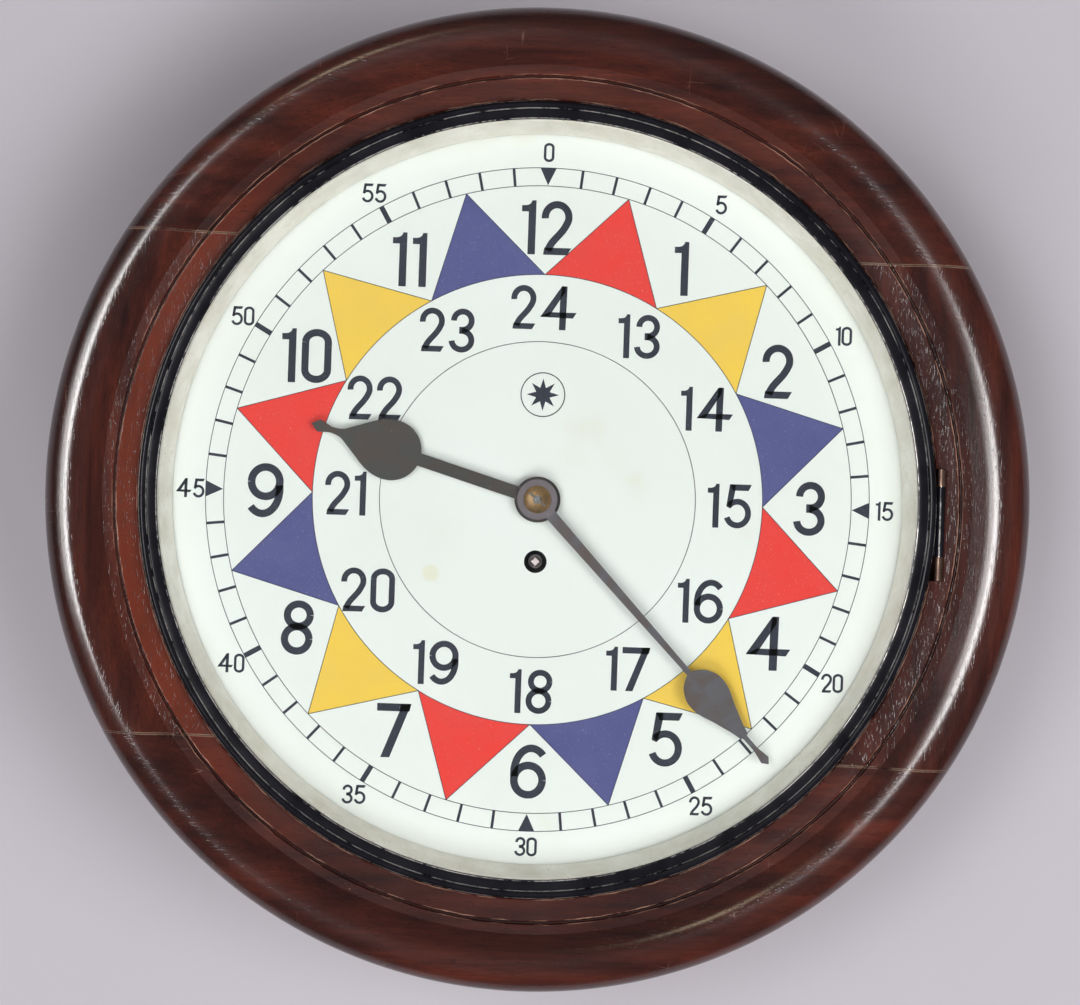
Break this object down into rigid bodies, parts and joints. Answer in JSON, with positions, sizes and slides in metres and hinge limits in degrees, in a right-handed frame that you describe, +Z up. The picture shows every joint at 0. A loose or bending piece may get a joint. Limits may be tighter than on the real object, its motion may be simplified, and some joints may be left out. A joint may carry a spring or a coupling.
{
  "type": "wall clock",
  "caption": "Round wall clock: turned wooden surround, hinged glazed bezel, painted dial with coloured triangles, two hands, and a box behind with fusee movement and pendulum.",
  "frame": {"origin": "on the wall plane, behind the axis of the hands", "axes": "+Z up, +X to the viewer's right, +Y into the wall, so that the dial faces -Y"},
  "size_m": [0.4572, 0.133, 0.4572],
  "materials": {
    "mahogany": "polished",
    "box_wood": "satin",
    "bezel_black": "worn black",
    "silvered": "satin",
    "window_glass": "clear",
    "dial_paint": "satin",
    "hand_steel": "blackened",
    "brass": "satin",
    "old_brass": "dull",
    "steel": "polished",
    "iron": "dull"
  },
  "bodies": {
    "case": {"surround_top_segment": "mahogany", "surround_bottom_segment": "mahogany", "surround_left_segment": "mahogany", "surround_right_segment": "mahogany", "surround_lugs": "box_wood", "fixing_pegs": "box_wood", "box_left_side": "box_wood", "box_right_side": "box_wood", "box_top": "box_wood", "box_bottom": "box_wood", "back_board": "box_wood", "hanging_plate": "iron", "case_screws": "iron", "bezel_hinge_case_leaf": "old_brass", "bezel_hinge_pin": "steel", "surround_screws": "steel", "door_hinges": "old_brass", "dial_plate": "dial_paint", "dial_feet": "brass", "movement_pins": "steel", "front_plate": "brass", "back_plate": "brass", "plate_pillars": "brass", "back_cock": "brass", "movement_screws": "steel", "barrel_arbor": "steel", "setup_ratchet_and_click": "steel", "motion_bridge": "brass", "minute_cock": "brass", "fusee_line": "steel"},
    "bezel": {"bezel_ring": "bezel_black", "bezel_glass": "window_glass", "sight_ring": "silvered", "bezel_hinge_leaf": "bezel_black", "bezel_catch": "old_brass"},
    "side_door": {"side_door": "box_wood"},
    "side_catch": {"side_door_catch": "old_brass"},
    "floor_door": {"pendulum_door": "box_wood"},
    "floor_catch": {"pendulum_door_catch": "old_brass"},
    "centre": {"centre_arbor": "steel", "centre_wheel": "brass", "cannon_pinion": "brass", "minute_hand": "hand_steel", "hand_collet": "old_brass", "hand_pin": "steel"},
    "hour": {"hour_wheel": "brass", "hour_hand": "hand_steel"},
    "minute": {"minute_wheel": "brass"},
    "third": {"third_wheel": "brass"},
    "escape": {"escape_wheel": "brass"},
    "great": {"great_wheel": "brass"},
    "fusee": {"fusee": "brass"},
    "barrel": {"barrel": "brass", "mainspring": "steel"},
    "pallets": {"anchor": "steel", "crutch": "steel"},
    "pendulum": {"suspension_spring": "steel", "pendulum_rod": "steel"},
    "bob": {"pendulum_bob": "brass"},
    "nut": {"rating_nut": "brass"}
  },
  "joints": [
    {"name": "minute_hand_turn", "type": "hinge", "parent": "case", "child": "centre", "pos_m": [0, -0.09, 0], "axis": [0, 1, 0], "continuous": true},
    {"name": "hour_hand_turn", "type": "hinge", "parent": "case", "child": "hour", "pos_m": [0, -0.107, 0], "axis": [0, 1, 0], "continuous": true},
    {"name": "minute_wheel_turn", "type": "hinge", "parent": "case", "child": "minute", "pos_m": [0, -0.104, 0.018], "axis": [0, 1, 0], "continuous": true},
    {"name": "great_wheel_turn", "type": "hinge", "parent": "case", "child": "great", "pos_m": [0, -0.061, -0.029], "axis": [0, 1, 0], "continuous": true},
    {"name": "third_wheel_turn", "type": "hinge", "parent": "case", "child": "third", "pos_m": [0.01323, -0.075, 0.01851], "axis": [0, 1, 0], "continuous": true},
    {"name": "escape_wheel_turn", "type": "hinge", "parent": "case", "child": "escape", "pos_m": [0, -0.075, 0.032], "axis": [0, 1, 0], "continuous": true},
    {"name": "fusee_wind", "type": "hinge", "parent": "great", "child": "fusee", "pos_m": [0, -0.075, -0.029], "axis": [0, 1, 0], "continuous": true},
    {"name": "barrel_turn", "type": "hinge", "parent": "case", "child": "barrel", "pos_m": [-0.04886, -0.075, -0.04679], "axis": [0, 1, 0], "continuous": true},
    {"name": "pendulum_swing", "type": "hinge", "parent": "case", "child": "pendulum", "pos_m": [0, -0.039, 0.05321], "axis": [0, 1, 0], "range_deg": [-2, 2]},
    {"name": "anchor_swing", "type": "hinge", "parent": "case", "child": "pallets", "pos_m": [0, -0.07, 0.05321], "axis": [0, 1, 0], "range_deg": [-2, 2]},
    {"name": "bob_slide", "type": "slide", "parent": "pendulum", "child": "bob", "axis": [0, 0, 1], "range_m": [-0.0016, 0.0016]},
    {"name": "rating_nut_turn", "type": "hinge", "parent": "bob", "child": "nut", "pos_m": [0, -0.039, -0.186], "axis": [0, 0, 1], "range_deg": [-720, 720]},
    {"name": "bezel_hinge", "type": "hinge", "parent": "case", "child": "bezel", "pos_m": [0.1867, -0.127, -0.004], "axis": [0, 0, 1], "range_deg": [0, 110]},
    {"name": "side_door_hinge", "type": "hinge", "parent": "case", "child": "side_door", "pos_m": [0.142, -0.018, 0], "axis": [0, 0, 1], "range_deg": [0, 90]},
    {"name": "side_door_catch_turn", "type": "hinge", "parent": "side_door", "child": "side_catch", "pos_m": [0.14, -0.081, 0], "axis": [1, 0, 0], "range_deg": [0, 90]},
    {"name": "pendulum_door_hinge", "type": "hinge", "parent": "case", "child": "floor_door", "pos_m": [-0.05552, -0.054, -0.20676], "axis": [0, 1, 0], "range_deg": [0, 90]},
    {"name": "pendulum_door_catch_turn", "type": "hinge", "parent": "floor_door", "child": "floor_catch", "pos_m": [0.046, -0.054, -0.20704], "axis": [-0.2169, 0, 0.9762], "range_deg": [0, 90]}
  ],
  "couplings": [
    {"joint": "hour_hand_turn", "follows": "minute_hand_turn", "ratio": 0.083333},
    {"joint": "minute_wheel_turn", "follows": "minute_hand_turn", "ratio": -1},
    {"joint": "great_wheel_turn", "follows": "minute_hand_turn", "ratio": -0.083333},
    {"joint": "third_wheel_turn", "follows": "minute_hand_turn", "ratio": -12},
    {"joint": "escape_wheel_turn", "follows": "minute_hand_turn", "ratio": 132},
    {"joint": "barrel_turn", "follows": "fusee_wind", "ratio": 0.5377},
    {"joint": "anchor_swing", "follows": "pendulum_swing", "ratio": 1},
    {"joint": "rating_nut_turn", "follows": "bob_slide", "rad_per_m": 7854}
  ]
}
